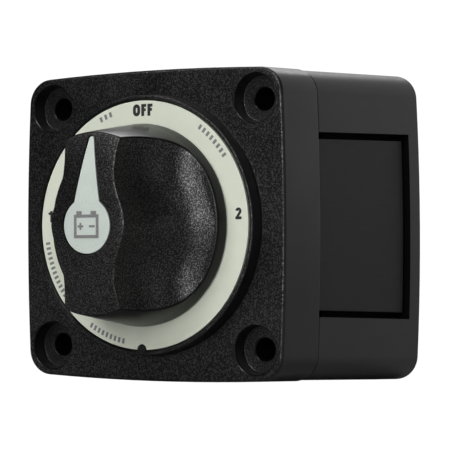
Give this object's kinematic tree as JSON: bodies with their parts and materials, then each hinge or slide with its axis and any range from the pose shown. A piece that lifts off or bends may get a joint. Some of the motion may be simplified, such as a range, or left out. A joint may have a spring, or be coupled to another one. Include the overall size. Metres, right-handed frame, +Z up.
{
  "type": "battery switch",
  "caption": "Square marine battery selector switch with a round dial, a turning knob, an isolating rear cover and side plates over its cable windows.",
  "frame": {"origin": "centre of the rear cover's flat back face, on the knob's axis", "axes": "+Y out of the back, along the knob's axis, so that the dial and knob face -Y; +Z up, towards the OFF position; +X to the right as seen by someone who faces the dial"},
  "size_m": [0.0698, 0.0795, 0.0698],
  "materials": {
    "housing_plastic": "fine spark-eroded grain on the face, smoother sides",
    "knob_plastic": "fine spark-eroded grain with a slight sheen",
    "cover_plastic": "smooth satin",
    "plate_plastic": "smooth satin",
    "base_plastic": "matt moulded",
    "rotor_plastic": "matt moulded",
    "dial_label": "smooth printed label, pale grey-green",
    "insert_plastic": "smooth printed insert, cool white",
    "seal_rubber": "moulded seal",
    "tinned_copper": "dull tin plate over copper",
    "stainless_steel": "plain stainless fasteners and springs"
  },
  "bodies": {
    "housing": {"front_housing": "housing_plastic", "dial_ring": "dial_label", "contact_base": "base_plastic", "base_gasket": "seal_rubber", "base_screw_1": "stainless_steel", "base_screw_2": "stainless_steel", "base_screw_3": "stainless_steel", "base_screw_4": "stainless_steel", "stud_battery_1": "tinned_copper", "stud_battery_2": "tinned_copper", "stud_common": "tinned_copper", "common_bus": "tinned_copper", "nut_battery_1": "stainless_steel", "nut_battery_2": "stainless_steel", "nut_common": "stainless_steel", "lock_washer_battery_1": "stainless_steel", "lock_washer_battery_2": "stainless_steel", "lock_washer_common": "stainless_steel"},
    "knob_rotor": {"knob": "knob_plastic", "pointer_insert": "insert_plastic", "knob_screw": "stainless_steel", "rotor": "rotor_plastic", "shaft_seal": "seal_rubber", "contact_bridge": "tinned_copper", "contact_spring_1": "stainless_steel", "contact_spring_2": "stainless_steel", "detent_ball_1": "stainless_steel", "detent_ball_2": "stainless_steel", "detent_spring_1": "stainless_steel", "detent_spring_2": "stainless_steel"},
    "cover": {"rear_cover": "cover_plastic"},
    "plate_right": {"side_plate_right": "plate_plastic"},
    "plate_top": {"side_plate_top": "plate_plastic"},
    "plate_left": {"side_plate_left": "plate_plastic"},
    "plate_bottom": {"side_plate_bottom": "plate_plastic"}
  },
  "joints": [
    {"name": "knob_turn", "type": "hinge", "parent": "housing", "child": "knob_rotor", "pos_m": [0, -0.06, 0], "axis": [0, 1, 0], "range_deg": [-85, 85]},
    {"name": "cover_slide", "type": "slide", "parent": "housing", "child": "cover", "axis": [0, 1, 0], "range_m": [0, 0.05]},
    {"name": "plate_right_pull", "type": "slide", "parent": "cover", "child": "plate_right", "axis": [1, 0, 0], "range_m": [0, 0.012]},
    {"name": "plate_top_pull", "type": "slide", "parent": "cover", "child": "plate_top", "axis": [0, 0, 1], "range_m": [0, 0.012]},
    {"name": "plate_left_pull", "type": "slide", "parent": "cover", "child": "plate_left", "axis": [-1, 0, 0], "range_m": [0, 0.012]},
    {"name": "plate_bottom_pull", "type": "slide", "parent": "cover", "child": "plate_bottom", "axis": [0, 0, -1], "range_m": [0, 0.012]}
  ]
}
